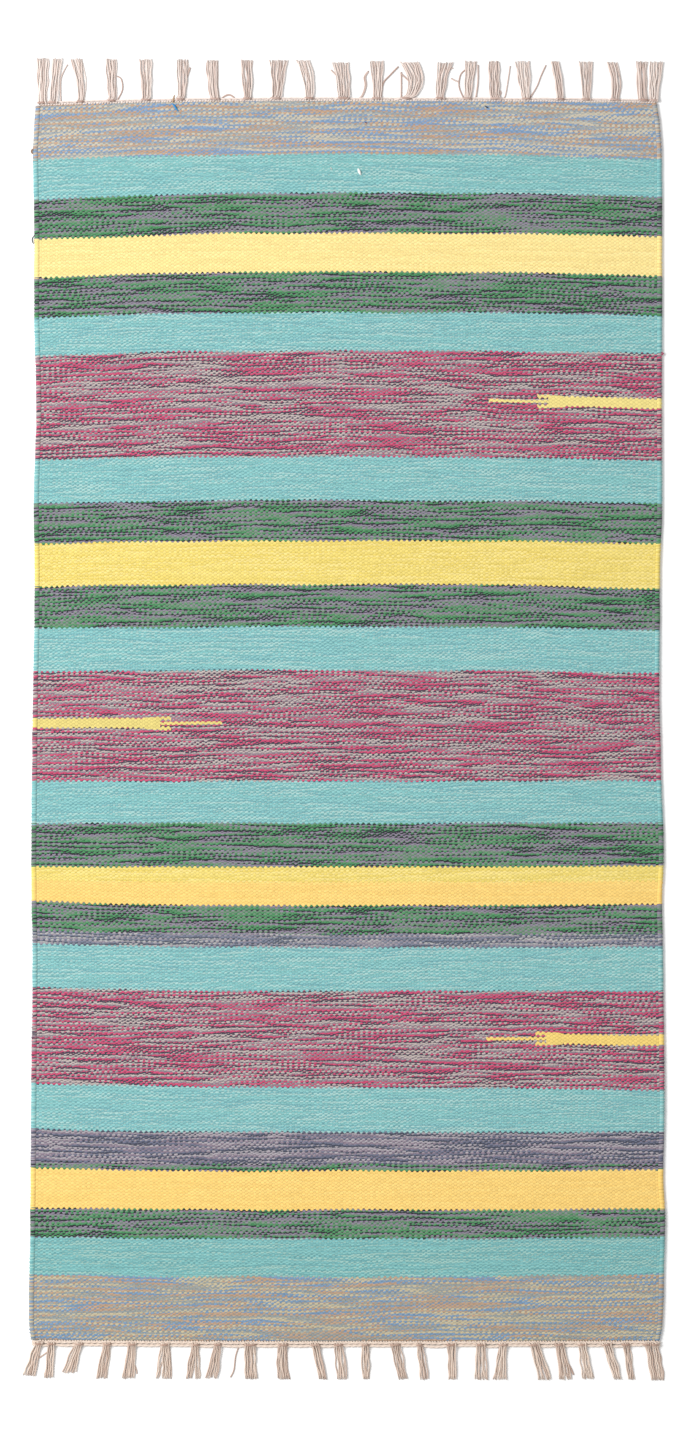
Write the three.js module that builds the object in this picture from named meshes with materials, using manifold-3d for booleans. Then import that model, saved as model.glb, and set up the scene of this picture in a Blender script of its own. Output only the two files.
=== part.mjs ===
// A flat-woven cotton kilim, lying flat on a floor, with knotted tassels of warp yarn at both ends.
// Millimetres, +Z up. X runs across the rug, Y along it, and the origin is under the middle of the rug.
// The cloth is one weft-faced sheet with a rolled selvedge down each side. At each end the warp yarns
// turn sideways along the cloth, two ropes deep, and gather in knots that let a tassel hang out of each.
import * as THREE from "three";
import { mergeVertices } from "three/addons/utils/BufferGeometryUtils.js";
import Module from "manifold-3d";

const { clamp, lerp, seededRandom } = THREE.MathUtils;
const wasm = await Module();
wasm.setup();

// Driving dimensions of the cloth
const CLOTH_LENGTH = 1177;
const CLOTH_THICKNESS = 3;
const HALF_LENGTH = CLOTH_LENGTH / 2;
const HALF_WIDTH = 299; // the usual one, about which the two side edges wander
const MIDDLE_COLUMNS = 10; // quads across the cloth between its selvedges
const CLOTH_ROWS = 26; // quads along the cloth

// The side edges, from the top end to the bottom end: how far each lies from the centre line.
const SIDES = [
  { along: 588.5, left: 293.8, right: 295.5 },
  { along: 552, left: 299.1, right: 299.7 },
  { along: 476, left: 298.8, right: 299.7 },
  { along: 400, left: 298.3, right: 299.7 },
  { along: 305, left: 296.4, right: 299.7 },
  { along: 210, left: 298.8, right: 299.5 },
  { along: 96, left: 298.8, right: 297.8 },
  { along: -18, left: 301.2, right: 298.8 },
  { along: -132, left: 301.2, right: 301.2 },
  { along: -227, left: 300.2, right: 300.7 },
  { along: -360, left: 301.2, right: 302.1 },
  { along: -474, left: 302.1, right: 303.1 },
  { along: -550, left: 302.6, right: 301.6 },
  { along: -588.5, left: 300.7, right: 296.4 },
];

// The selvedge from the rug's side inwards: the outermost warps are doubled and stand up as a roll,
// with a groove between the roll and the cloth.
const SELVEDGE = [
  { inset: 0, low: 1.1, high: 2.2 },
  { inset: 0.7, low: 0.3, high: 3.1 },
  { inset: 2.2, low: 0, high: 3.6 },
  { inset: 3.7, low: 0, high: 3.3 },
  { inset: 4.7, low: 0, high: 2.5 },
  { inset: 6, low: 0, high: CLOTH_THICKNESS },
];

// Driving dimensions of the two ends. The droops are how far the end line falls towards -Y at each corner,
// left and right are where the heading stops, depth is how far it stands out from the cloth, and reach is
// how far the tassels' tips lie from the cloth.
const ENDS = {
  top: { toward: 1, droopLeft: 4.6, droopRight: 2, left: 293, right: 294.5, depth: 4.4, reach: 39.5 },
  bottom: { toward: -1, droopLeft: -1.2, droopRight: -0.4, left: 299.5, right: 295.5, depth: 6.2, reach: 36 },
};
const DROOP_POWER = 2.5; // the end line is nearly straight in the middle and falls near the corners

// The heading, two ropes of yarn side by side
const CLEARANCE = 0.3; // between the cloth and each heading
const ROPE_HEIGHT = 3.2;
const SAG = 0.8; // how far the heading hangs out between two knots
const SAG_VARIES = 0.5; // the share by which one sag differs from the next
const STEPS_PER_GAP = 2;
const SIDE_MARGIN = 4; // a knot nearer than this to the heading's end makes no stop of its own

// A tassel's locks of yarn
const LOCKS = 5;
const LOCK_HEIGHT = 1.9;
const LOCK_TOP_SHARE = 0.6; // the top of a lock is this much narrower than its foot
const LOCK_START = 0.82; // a lock starts inside the heading, at this share of its depth
const LOCK_STEPS = 2;
const LOCK_GAP = 0.4;
const ENDS_UNEVEN = 1.1; // how unevenly the tassels are cut
const YARN = 1.3;

// The overhand knot at the root of a tassel
const KNOT = { height: 4.6, depth: 5.6, overhang: 1.2, sides: 6, rings: 4 };

// Tassels from left to right. root and tip are places across the rug, neck and fan the widths there,
// bow is how far the middle swings to the right, and short is what is missing from the full reach.
const TOP_TASSELS = [
  { root: -291, tip: -290.2, neck: 7.6, fan: 12.4, bow: 0, short: 0 },
  { root: -280.7, tip: -276.6, neck: 7.6, fan: 9.5, bow: 0, short: 0 },
  { root: -253.9, tip: -258.3, neck: 6, fan: 11.9, bow: 1.9, short: 0 },
  { root: -223.4, tip: -225.1, neck: 7.1, fan: 10.9, bow: 0, short: 0 },
  { root: -191.4, tip: -192.6, neck: 8.2, fan: 12.4, bow: 0, short: 0 },
  { root: -158, tip: -157.4, neck: 6.7, fan: 12, bow: 0, short: 0 },
  { root: -126.3, tip: -129, neck: 8.5, fan: 11.9, bow: -0.9, short: 0.8 },
  { root: -95, tip: -96.2, neck: 7.1, fan: 11.9, bow: 0, short: 0 },
  { root: -67.4, tip: -65.9, neck: 9, fan: 18, bow: 0, short: 0 },
  { root: -36.9, tip: -43, neck: 7.6, fan: 13.3, bow: 1.9, short: 0 },
  { root: -3.6, tip: -7.4, neck: 11, fan: 16, bow: 0.9, short: 1.6 },
  { root: 27.3, tip: 27.3, neck: 8, fan: 13.8, bow: 0, short: 0 },
  { root: 57.6, tip: 59.2, neck: 7.1, fan: 17, bow: 5.5, short: 1.2 },
  { root: 87, tip: 92.5, neck: 6.7, fan: 14.2, bow: -0.9, short: 1.4 },
  { root: 113.7, tip: 117, neck: 6.7, fan: 11.5, bow: 0, short: 0 },
  { root: 139.4, tip: 138.8, neck: 9.5, fan: 10.9, bow: 0, short: 0 },
  { root: 169.4, tip: 166.1, neck: 7.1, fan: 14.2, bow: 0, short: 0 },
  { root: 201.7, tip: 196.3, neck: 6.7, fan: 8, bow: 0.9, short: 0 },
  { root: 226.3, tip: 226, neck: 7.1, fan: 14.2, bow: 0, short: 0 },
  { root: 253.3, tip: 250.8, neck: 7.6, fan: 10.5, bow: 2.8, short: 0.6 },
  { root: 280.8, tip: 279.2, neck: 8.6, fan: 11, bow: 0, short: 0 },
  { root: 290.6, tip: 293.4, neck: 7.6, fan: 13, bow: 0, short: 0 },
];
const BOTTOM_TASSELS = [
  { root: -294, tip: -303.2, neck: 6.7, fan: 12.4, bow: 0, short: 2.2 },
  { root: -282, tip: -284.5, neck: 6.7, fan: 8.6, bow: 0, short: 0.4 },
  { root: -255.3, tip: -264.9, neck: 6.7, fan: 13.8, bow: 0, short: 5.2 },
  { root: -228.8, tip: -234.4, neck: 6.7, fan: 10.9, bow: 0, short: 0 },
  { root: -205.1, tip: -208.9, neck: 7.6, fan: 12.4, bow: 0, short: 0 },
  { root: -174, tip: -175.8, neck: 7.6, fan: 13.3, bow: 0.9, short: 0 },
  { root: -144.8, tip: -147.3, neck: 6.2, fan: 12.4, bow: 0, short: 0 },
  { root: -123.8, tip: -130, neck: 5.7, fan: 11.9, bow: 0, short: 0.6 },
  { root: -93.2, tip: -92.2, neck: 10.6, fan: 10.9, bow: 0, short: 0 },
  { root: -61.6, tip: -60.8, neck: 7.6, fan: 10.5, bow: -0.9, short: 0 },
  { root: -31.1, tip: -23.7, neck: 8, fan: 8, bow: 0, short: 0 },
  { root: -9.2, tip: -5.4, neck: 7.6, fan: 10, bow: 0, short: 0 },
  { root: 16.4, tip: 17.2, neck: 6.7, fan: 7.1, bow: 0, short: 0 },
  { root: 44.8, tip: 52.4, neck: 9, fan: 8, bow: 0, short: 0 },
  { root: 67.9, tip: 72.9, neck: 5, fan: 8, bow: 0, short: 0 },
  { root: 98.2, tip: 99.1, neck: 8.6, fan: 8, bow: 0, short: 0 },
  { root: 125.8, tip: 126.6, neck: 8.2, fan: 12.8, bow: 0, short: 0 },
  { root: 147.3, tip: 144.3, neck: 7.6, fan: 13.6, bow: 0, short: 0 },
  { root: 176.6, tip: 187.5, neck: 9, fan: 11.4, bow: 0, short: 0 },
  { root: 200.6, tip: 206.6, neck: 8.2, fan: 10, bow: 0, short: 0 },
  { root: 222.5, tip: 228.5, neck: 6.7, fan: 11.4, bow: 0, short: 0.8 },
  { root: 245.4, tip: 256.2, neck: 7.6, fan: 8, bow: 0, short: 0.6 },
  { root: 264.2, tip: 269.3, neck: 7.1, fan: 6.7, bow: 0, short: 0 },
  { root: 284, tip: 290.6, neck: 6.2, fan: 6, bow: 0, short: 0 },
  { root: 291.2, tip: 297.4, neck: 6.2, fan: 7.1, bow: 0, short: 0 },
];

// Single yarns that have strayed from their tassel. root, bend and tip are places across the rug,
// and reach is the share of the fringe that the yarn spans.
const TOP_STRAYS = [
  { root: -273, bend: -273.2, tip: -266.5, reach: 0.92 },
  { root: 8.5, bend: 15.9, tip: 19.2, reach: 0.76 },
  { root: 31.6, bend: 36.5, tip: 47.5, reach: 0.88 },
  { root: 121.4, bend: 125.3, tip: 124.8, reach: 0.93 },
  { root: 147.5, bend: 152.6, tip: 154.2, reach: 0.92 },
  { root: 173.6, bend: 180.5, tip: 188.3, reach: 0.95 },
  { root: 275.6, bend: 273.2, tip: 273.8, reach: 0.93 },
];
const BOTTOM_STRAYS = [{ root: -103.6, bend: -106.9, tip: -112, reach: 0.96 }];

const material = (color, roughness) => new THREE.MeshStandardMaterial({ color, roughness, metalness: 0 });
const WOVEN_COTTON = material(0x86aaa6, 0.92);
const UNDYED_COTTON = material(0xd8c8ba, 0.95);

// Straight interpolation in a table's named column. The table runs from its highest key to its lowest.
function column(table, key, name, at) {
  const i = table.findIndex((row, n) => n > 0 && at >= row[key]);
  const low = i < 0 ? table.length - 1 : i;
  const share = (at - table[low][key]) / (table[low - 1][key] - table[low][key]);
  return lerp(table[low][name], table[low - 1][name], clamp(share, 0, 1));
}

// Where the cloth ends, at a place across the rug.
function endLine(end, across) {
  const share = Math.min(1, Math.abs(across) / HALF_WIDTH);
  const droop = across < 0 ? end.droopLeft : end.droopRight;
  return end.toward * HALF_LENGTH - droop * share ** DROOP_POWER;
}

// A repeatable value from -1 to 1, for each numbered lock or sag.
const uneven = (number) => 2 * seededRandom(number) - 1;

// A closed body through rings of equally many points. Each ring is one cross-section, whose points have
// their place on the rug in x, y and z, and their place in the section's own plane in u and v.
function loft(rings) {
  const size = rings[0].length;
  const faces = [];
  for (let r = 0; r + 1 < rings.length; r++) {
    for (let i = 0; i < size; i++) {
      const a = r * size + i;
      const b = r * size + ((i + 1) % size);
      faces.push(a, b, a + size, b, b + size, a + size);
    }
  }
  const outline = rings[0].map((p) => new THREE.Vector2(p.u, p.v));
  const turn = Math.sign(THREE.ShapeUtils.area(outline));
  const last = (rings.length - 1) * size;
  for (const corners of THREE.ShapeUtils.triangulateShape(outline, [])) {
    const same = Math.sign(THREE.ShapeUtils.area(corners.map((i) => outline[i]))) === turn;
    const [a, b, c] = same ? corners : corners.reverse();
    faces.push(c, b, a, last + a, last + b, last + c);
  }
  const places = rings.flat().flatMap((p) => [p.x, p.y, p.z]);
  const geometry = new THREE.BufferGeometry();
  geometry.setAttribute("position", new THREE.Float32BufferAttribute(places, 3));
  geometry.setIndex(faces);
  return geometry;
}

// The cloth's cross-section at one row: over the top from left to right, and back underneath.
function clothRing(row) {
  const share = row / CLOTH_ROWS;
  const along = lerp(-HALF_LENGTH, HALF_LENGTH, share);
  const left = column(SIDES, "along", "left", along);
  const right = column(SIDES, "along", "right", along);
  const inner = SELVEDGE[SELVEDGE.length - 1].inset;
  const across = SELVEDGE.map(({ inset, low, high }) => ({ x: inset - left, low, high }));
  for (let i = 1; i < MIDDLE_COLUMNS; i++) {
    const x = lerp(inner - left, right - inner, i / MIDDLE_COLUMNS);
    across.push({ x, low: 0, high: CLOTH_THICKNESS });
  }
  across.push(...SELVEDGE.map(({ inset, low, high }) => ({ x: right - inset, low, high })).reverse());
  const point = (x, z) => {
    const y = lerp(endLine(ENDS.bottom, x), endLine(ENDS.top, x), share);
    return { x, y, z, u: x, v: z };
  };
  const upper = across.map((p) => point(p.x, p.high));
  const under = across.map((p) => point(p.x, p.low)).reverse();
  return [...upper, ...under];
}

function clothOf() {
  const rings = [];
  for (let row = 0; row <= CLOTH_ROWS; row++) rings.push(clothRing(row));
  const mesh = new THREE.Mesh(geometryOf(solidOf(loft(rings))), WOVEN_COTTON);
  mesh.name = "woven_cloth";
  return mesh;
}

// The heading's cross-section. out is the share of its depth from the cloth, high the share of its height.
const ROPES = [
  { out: 0, high: 0 },
  { out: 0, high: 0.75 },
  { out: 0.25, high: 1 },
  { out: 0.5, high: 0.72 },
  { out: 0.75, high: 1 },
  { out: 1, high: 0.6 },
  { out: 0.94, high: 0 },
];

function headingRing(end, across, depth) {
  return ROPES.map(({ out, high }) => ({
    x: across,
    y: endLine(end, across) + end.toward * (CLEARANCE + out * depth),
    z: high * ROPE_HEIGHT,
    u: end.toward * out,
    v: high,
  }));
}

// The heading runs from side to side and hangs out a little between knots.
function headingOf(end, tassels) {
  const inside = (x) => x > SIDE_MARGIN - end.left && x < end.right - SIDE_MARGIN;
  const stops = [-end.left, ...tassels.map(({ root }) => root).filter(inside), end.right];
  const rings = [];
  for (let n = 0; n + 1 < stops.length; n++) {
    const sag = SAG * (1 + SAG_VARIES * uneven(n));
    for (let step = 0; step < STEPS_PER_GAP; step++) {
      const share = step / STEPS_PER_GAP;
      const depth = end.depth + sag * Math.sin(Math.PI * share);
      rings.push(headingRing(end, lerp(stops[n], stops[n + 1], share), depth));
    }
  }
  rings.push(headingRing(end, end.right, end.depth));
  return loft(rings);
}

// A lock or yarn along a centre line that lies on the floor, four-sided and narrower on top.
function lockOf(line) {
  const rings = line.map(({ x, y, width }) => {
    const foot = width / 2;
    const top = foot * LOCK_TOP_SHARE;
    const height = Math.min(LOCK_HEIGHT, width);
    const corners = [
      [-foot, 0],
      [-top, height],
      [top, height],
      [foot, 0],
    ];
    return corners.map(([u, v]) => ({ x: x + u, y, z: v, u, v }));
  });
  return loft(rings);
}

// The centre line of a strand from the heading to its tip. place and width give where it lies across
// the rug and how wide it is, at a share of the way.
function strandLine(end, place, width, reach) {
  const line = [];
  for (let step = 0; step <= LOCK_STEPS; step++) {
    const share = step / LOCK_STEPS;
    const out = CLEARANCE + lerp(end.depth * LOCK_START, reach, share);
    line.push({ x: place(share), y: endLine(end, place(0)) + end.toward * out, width: width(share) });
  }
  return line;
}

function tasselOf(end, { root, tip, neck, fan, bow, short }, n) {
  const locks = [];
  for (let i = 0; i < LOCKS; i++) {
    const offset = (i + 0.5) / LOCKS - 0.5;
    const spread = (share) => lerp(neck, fan, share);
    const width = (share) => spread(share) / LOCKS - LOCK_GAP;
    const middle = (share) => lerp(root, tip, share) + bow * Math.sin(Math.PI * share);
    const place = (share) => middle(share) + offset * spread(share);
    const reach = end.reach - short + ENDS_UNEVEN * uneven(n * LOCKS + i);
    locks.push(lockOf(strandLine(end, place, width, reach)));
  }
  return locks;
}

// A stray yarn passes through its bend halfway.
function strayOf(end, { root, bend, tip, reach }) {
  const pull = 2 * bend - (root + tip) / 2;
  const place = (share) => lerp(lerp(root, pull, share), lerp(pull, tip, share), share);
  return lockOf(strandLine(end, place, () => YARN, reach * end.reach));
}

// A knot sits on the heading's outer rope as a low lump that touches the floor.
function knotOf(end, { root, neck }) {
  const knot = new THREE.SphereGeometry(0.5, KNOT.sides, KNOT.rings);
  const out = CLEARANCE + (KNOT.depth / 2 + end.depth) / 2;
  knot.rotateX(Math.PI / 2);
  knot.scale(neck + KNOT.overhang, KNOT.depth, KNOT.height);
  knot.translate(root, endLine(end, root) + end.toward * out, KNOT.height / 2);
  return knot;
}

// A closed geometry as a solid that can be joined, with its faces pointing out.
function solidOf(geometry) {
  geometry.deleteAttribute("normal");
  geometry.deleteAttribute("uv");
  const merged = mergeVertices(geometry);
  const triVerts = new Uint32Array(merged.index.array);
  const vertProperties = new Float32Array(merged.attributes.position.array);
  const solid = new wasm.Manifold(new wasm.Mesh({ numProp: 3, vertProperties, triVerts }));
  if (solid.volume() > 0) return solid;
  triVerts.reverse();
  return new wasm.Manifold(new wasm.Mesh({ numProp: 3, vertProperties, triVerts }));
}

function geometryOf(solid) {
  const { vertProperties, triVerts } = solid.getMesh();
  const geometry = new THREE.BufferGeometry();
  geometry.setAttribute("position", new THREE.BufferAttribute(vertProperties, 3));
  geometry.setIndex(new THREE.BufferAttribute(triVerts, 1));
  return geometry;
}

// One end's heading, knots, tassels and stray yarns, which are all the same warp yarns.
function fringeOf(name, end, tassels, strays) {
  const pieces = [
    headingOf(end, tassels),
    ...tassels.map((tassel) => knotOf(end, tassel)),
    ...tassels.flatMap((tassel, n) => tasselOf(end, tassel, n)),
    ...strays.map((stray) => strayOf(end, stray)),
  ];
  const joined = pieces.map(solidOf).reduce((whole, piece) => whole.add(piece));
  const mesh = new THREE.Mesh(geometryOf(joined), UNDYED_COTTON);
  mesh.name = name;
  return mesh;
}

const kilim = new THREE.Group();
kilim.name = "kilim";
kilim.add(clothOf());
kilim.add(fringeOf("fringe_top", ENDS.top, TOP_TASSELS, TOP_STRAYS));
kilim.add(fringeOf("fringe_bottom", ENDS.bottom, BOTTOM_TASSELS, BOTTOM_STRAYS));

// The origin is the bottom centre of the whole rug, fringes included.
const box = new THREE.Box3().setFromObject(kilim);
const middle = box.getCenter(new THREE.Vector3());
kilim.position.set(-middle.x, -middle.y, -box.min.z);

export default kilim;
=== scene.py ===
# %% [markdown]
# # A flat-woven cotton kilim with knotted tassels
#
# The rug is one weft-faced cloth, about 600 x 1177 mm, that lies flat on a floor. Cross stripes of mixed
# cotton yarns cover the warps. At both ends the warps turn sideways as a heading of two ropes and hang
# out of it in tassels. CAD gives the solids, and this lesson gives them their weave, their dyes and
# their yarns. Lengths are in metres in the CAD frame: +X across the rug, +Y to its top end, +Z up.

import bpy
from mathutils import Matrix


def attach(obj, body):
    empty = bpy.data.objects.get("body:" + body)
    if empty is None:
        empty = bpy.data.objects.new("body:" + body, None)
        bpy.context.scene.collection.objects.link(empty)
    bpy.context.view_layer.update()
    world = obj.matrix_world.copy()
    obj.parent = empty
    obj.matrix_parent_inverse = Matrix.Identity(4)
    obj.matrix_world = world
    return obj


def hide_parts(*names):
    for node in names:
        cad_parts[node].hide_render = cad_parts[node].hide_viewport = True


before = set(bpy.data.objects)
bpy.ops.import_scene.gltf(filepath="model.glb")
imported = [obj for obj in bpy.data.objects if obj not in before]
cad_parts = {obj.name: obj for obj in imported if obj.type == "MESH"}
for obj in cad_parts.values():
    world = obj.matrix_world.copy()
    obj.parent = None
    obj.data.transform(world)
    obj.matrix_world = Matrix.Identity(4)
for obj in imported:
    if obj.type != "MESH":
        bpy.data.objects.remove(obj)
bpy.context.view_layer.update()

# %% Helpers and driving sizes
import math
import random
from collections import namedtuple
from functools import lru_cache

import bmesh
import bpy
import numpy as np
from mathutils import Matrix, Vector

MM = 0.001
CLOTH_LENGTH = 1177 * MM
HALF_LENGTH = CLOTH_LENGTH / 2
HALF_WIDTH = 299 * MM  # the usual one, about which the two side edges wander
# CAD puts its origin under the middle of the whole rug, and the cloth's own middle lies here.
MIDDLE = Vector((3.1435, -1.7195, 0)) * MM

WARP = 2.57 * MM  # from one warp to the next
WARPS = 229  # between the two selvedges
SELVEDGE_WIDTH = 4.7 * MM  # of the doubled warps down each side
COLUMNS = WARPS + 2  # a selvedge counts as one column of weave
FLAT_WIDTH = WARPS * WARP + 2 * SELVEDGE_WIDTH
print(f"{COLUMNS} columns of weave on {FLAT_WIDTH / MM:.0f} mm")

# %% [markdown]
# ## The weaver's chart
#
# A stripe is woven by changing the bundle of yarns on the shuttle, so the chart is a list of bundles with
# the number of picks that each one lasts. It runs from the top end to the bottom end. Each bundle holds
# four yarns, and a few of them show in each stitch while the bundle rolls over.

# %% Stripes and their yarns
Band = namedtuple("Band", "bundle picks")
BANDS = [
    Band("dusk", 31),
    Band("aqua", 23),
    Band("forest", 24),
    Band("lemon", 23),
    Band("forest", 24),
    Band("aqua", 23),
    Band("berry", 63),
    Band("aqua", 26),
    Band("forest", 24),
    Band("straw", 26),
    Band("forest", 25),
    Band("aqua", 26),
    Band("berry", 66),
    Band("aqua", 25),
    Band("forest", 26),
    Band("straw", 9),
    Band("honey", 14),
    Band("forest", 17),
    Band("ash", 8),
    Band("aqua", 26),
    Band("berry", 57),
    Band("aqua", 27),
    Band("slate", 19),
    Band("forest", 4),
    Band("honey", 23),
    Band("forest", 17),
    Band("mist", 23),
    Band("dawn", 38),
]
PICKS = sum(band.picks for band in BANDS)
PICK = CLOTH_LENGTH / PICKS

Bundle = namedtuple("Bundle", "first second third fourth")
BUNDLES = {
    "dusk": Bundle((122, 151, 184), (184, 152, 126), (150, 158, 162), (192, 183, 164)),
    "dawn": Bundle((116, 146, 176), (180, 150, 124), (142, 150, 150), (188, 176, 146)),
    "aqua": Bundle((118, 178, 178), (136, 191, 190), (110, 167, 172), (160, 198, 194)),
    "mist": Bundle((112, 172, 174), (130, 187, 184), (104, 163, 166), (150, 190, 182)),
    "forest": Bundle((70, 138, 88), (38, 40, 46), (136, 126, 144), (112, 136, 116)),
    "slate": Bundle((104, 108, 128), (66, 70, 86), (164, 158, 164), (134, 120, 134)),
    "ash": Bundle((116, 122, 140), (78, 84, 98), (170, 170, 170), (146, 138, 148)),
    "lemon": Bundle((243, 219, 144), (241, 217, 142), (236, 210, 136), (246, 224, 152)),
    "straw": Bundle((231, 209, 116), (228, 206, 113), (222, 198, 98), (236, 215, 134)),
    "honey": Bundle((242, 204, 117), (241, 202, 115), (238, 198, 110), (244, 208, 122)),
    "berry": Bundle((198, 70, 108), (66, 60, 76), (184, 171, 166), (136, 124, 134)),
}
print(f"{len(BANDS)} stripes, {PICKS} picks, {PICK / MM:.3f} mm from pick to pick")


def first_pick(number):
    """The pick with which a stripe begins, counted from the top end."""
    return sum(band.picks for band in BANDS[:number])


# %% [markdown]
# ## Where the flat chart lies on the real rug
#
# No hand-woven rug is a true rectangle. Its side edges wander with the weaver's tension, and its wefts
# fall away from the middle towards the selvedges. Both are short tables. The top end is also a little
# looser and reaches further out. One function puts a place of the flat chart on the rug, so every piece
# and the pattern agree.

# %% The rug's uneven shape
Side = namedtuple("Side", "along left right")
SIDES = (
    Side(588.5, 296.9, 293.3),
    Side(582, 297.3, 294.1),
    Side(571, 297.9, 296.2),
    Side(552, 299.3, 298.0),
    Side(476, 297.9, 298.3),
    Side(400, 298.2, 298.3),
    Side(305, 296.0, 298.2),
    Side(210, 298.4, 298.4),
    Side(140, 297.6, 296.4),
    Side(96, 298.0, 296.1),
    Side(20, 299.4, 295.8),
    Side(-18, 299.9, 296.8),
    Side(-132, 300.9, 299.9),
    Side(-172, 300.6, 298.2),
    Side(-227, 299.7, 299.3),
    Side(-360, 300.8, 300.8),
    Side(-435, 301.4, 299.3),
    Side(-474, 301.8, 301.4),
    Side(-550, 303.0, 299.7),
    Side(-577, 303.1, 298.5),
    Side(-588.5, 301.4, 296.2),
)

# How far a weft falls towards the bottom end at the rug's two sides, in mm
Droop = namedtuple("Droop", "along left right")
DROOPS = (
    Droop(588.5, 4.6, 2.0),
    Droop(538, 5.5, 5.7),
    Droop(502, 7.6, 4.5),
    Droop(463, 6.5, 3.0),
    Droop(408, 5.8, 4.8),
    Droop(348, 5.5, 3.0),
    Droop(250, 2.8, 4.5),
    Droop(190, 3.3, 3.0),
    Droop(111, 2.0, 4.6),
    Droop(47, 1.8, 3.6),
    Droop(-55, 0.3, -0.5),
    Droop(-137, 0.3, -0.5),
    Droop(-172, -3.8, -0.5),
    Droop(-253, -3.8, -0.5),
    Droop(-347, -3.5, 3.8),
    Droop(-389, -3.6, 0.0),
    Droop(-442, -2.5, -1.0),
    Droop(-491, -1.0, -1.0),
    Droop(-528, -2.0, -3.0),
    Droop(-588.5, -1.2, -0.4),
)
DROOP_POWER = 2.5  # a weft is nearly straight in the middle and falls near the sides


@lru_cache(maxsize=None)
def reading(table, name, along):
    """A table's named column at a place along the rug, in metres, eased from row to row."""
    rows = sorted(table, key=lambda row: row.along)
    along = min(max(along / MM, rows[0].along), rows[-1].along)
    above = next(n for n, row in enumerate(rows) if row.along >= along and n > 0)
    low, high = rows[above - 1], rows[above]
    share = (along - low.along) / (high.along - low.along)
    eased = share * share * (3 - 2 * share)
    return (getattr(low, name) + (getattr(high, name) - getattr(low, name)) * eased) * MM


def droop(along, across):
    """How far the weft through the middle at along has fallen at a place across."""
    side = "left" if across < 0 else "right"
    return reading(DROOPS, side, along) * min(1, abs(across) / HALF_WIDTH) ** DROOP_POWER


TOP_RISE = 1.1 * MM  # how much further the top end reaches than the flat chart
RISE_LENGTH = 25 * MM


def on_rug(share, along, height=0.0):
    """The place on the rug for a share of its width from the left and a place along it."""
    left = -reading(SIDES, "left", along)
    right = reading(SIDES, "right", along)
    across = left + share * (right - left)
    rise = TOP_RISE * max(0, 1 - (HALF_LENGTH - along) / RISE_LENGTH)
    return Vector((across, along + rise - droop(along, across), height)) + MIDDLE


print("top left corner at", tuple(round(x / MM, 1) for x in on_rug(0, HALF_LENGTH)), "mm")

# %% [markdown]
# ## The cloth
#
# The cloth is one closed sheet. A grid gets two quads for each warp, so that each warp stands up as a
# rib, and five for each rolled selvedge. At both ends two short rows thin it to a round rim. The grid is
# then extruded downwards for the underside, where the ribs show too. The picks are too fine for the mesh
# and stay in the material's bump. Each vertex keeps its place in the weave, counted in warps and picks,
# and the pattern is drawn with that.

# %% Cloth sections
Section = namedtuple("Section", "inset low high")
SELVEDGE = [
    Section(0, 1.1, 2.2),
    Section(0.7, 0.3, 3.1),
    Section(2.2, 0.04, 3.55),
    Section(3.6, 0.04, 3.4),
    Section(4.4, 0.07, 3.0),
    Section(4.7, 0.12, 2.88),
]
RIB_HIGH = 3.05
RIB_LOW = 0.0
VALLEY_HIGH = 2.92
VALLEY_LOW = 0.12
ROWS = 96  # long ones, between the short ones of the two rims
EDGE_WANDERS = 0.35 * MM  # how unevenly the wefts turn at the selvedge

# At both ends the cloth thins to a round rim: sunk is how much each face gives way there, in mm.
Rim = namedtuple("Rim", "inset sunk")
END_RIM = [Rim(0, 0.75), Rim(0.5, 0.25), Rim(1.7, 0)]
MOST_SUNK = 1 / 3  # of the thickness, so that the two faces never meet


def cloth_sections():
    """Sections across the cloth from left to right, in mm, with a rib in the middle of each warp."""
    across = [Section(*row) for row in SELVEDGE]
    for half in range(1, 2 * WARPS):
        inset = SELVEDGE_WIDTH / MM + half * WARP / MM / 2
        rib = half % 2 == 1
        low = RIB_LOW if rib else VALLEY_LOW
        high = RIB_HIGH if rib else VALLEY_HIGH
        across.append(Section(inset, low, high))
    width = FLAT_WIDTH / MM
    across.extend(Section(width - row.inset, row.low, row.high) for row in reversed(SELVEDGE))
    return across


def cloth_rows():
    """Rows along the cloth from its top end: how far each is from that end, and how much it's sunk."""
    length = CLOTH_LENGTH / MM
    rim = END_RIM[-1].inset
    step = (length - 2 * rim) / ROWS
    rows = list(END_RIM)
    rows.extend(Rim(rim + n * step, 0) for n in range(1, ROWS))
    rows.extend(Rim(length - row.inset, row.sunk) for row in reversed(END_RIM))
    return rows


def column_at(inset):
    """The column of weave at an inset from the left, in mm. Each selvedge is one column."""
    edge = SELVEDGE_WIDTH / MM
    if inset <= edge:
        return inset / edge
    if inset >= FLAT_WIDTH / MM - edge:
        return COLUMNS - (FLAT_WIDTH / MM - inset) / edge
    return 1 + (inset - edge) * MM / WARP


sections = cloth_sections()
rows = cloth_rows()
print(len(sections) - 1, "quads across the cloth and", len(rows) - 1, "along it")

# %% Cloth mesh
rng = random.Random(7)


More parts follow.
